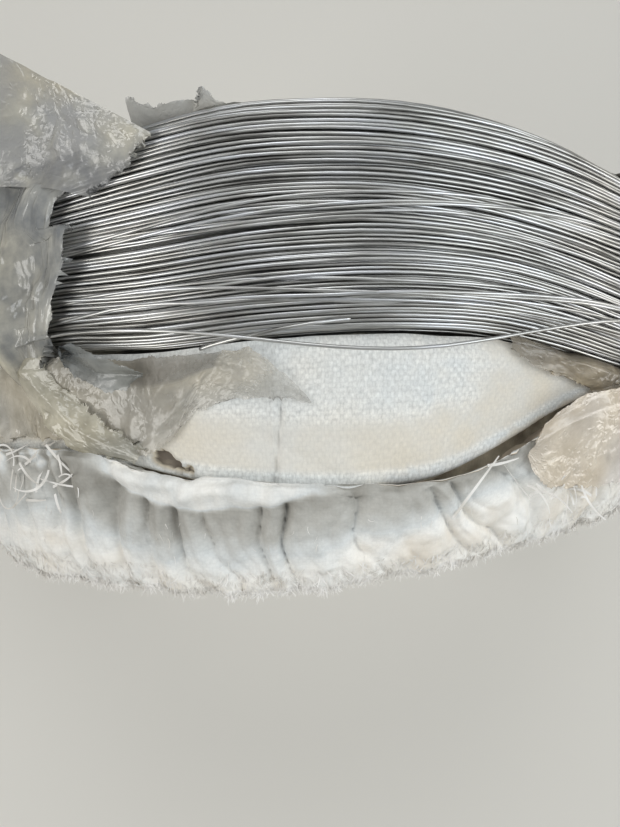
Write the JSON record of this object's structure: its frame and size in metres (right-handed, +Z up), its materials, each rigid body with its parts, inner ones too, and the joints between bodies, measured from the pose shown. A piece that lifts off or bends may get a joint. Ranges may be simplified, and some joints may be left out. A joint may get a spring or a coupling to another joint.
{
  "type": "coil of stainless steel wire",
  "caption": "Coil of round bright wire wound without a reel, standing on its rim, with an open eye, in a film-lined woven wrap that is cut open over the top.",
  "frame": {"origin": "on the floor, under the middle of the whole outline, folded cloth included", "axes": "+Y along the axis of the coil towards its back end, -Y towards the folded cloth, +Z up, +X to the right of the picture"},
  "size_m": [0.457, 0.2073, 0.4535],
  "materials": {
    "wire": "bright drawn stainless wire",
    "film": "crumpled clear polyethylene film",
    "woven_cloth": "white cloth woven of flat plastic tape, dusty"
  },
  "bodies": {
    "root": {"wire_coil": "wire", "film_wrap": "film", "woven_wrap": "woven_cloth", "cloth_flap": "woven_cloth"}
  },
  "joints": []
}
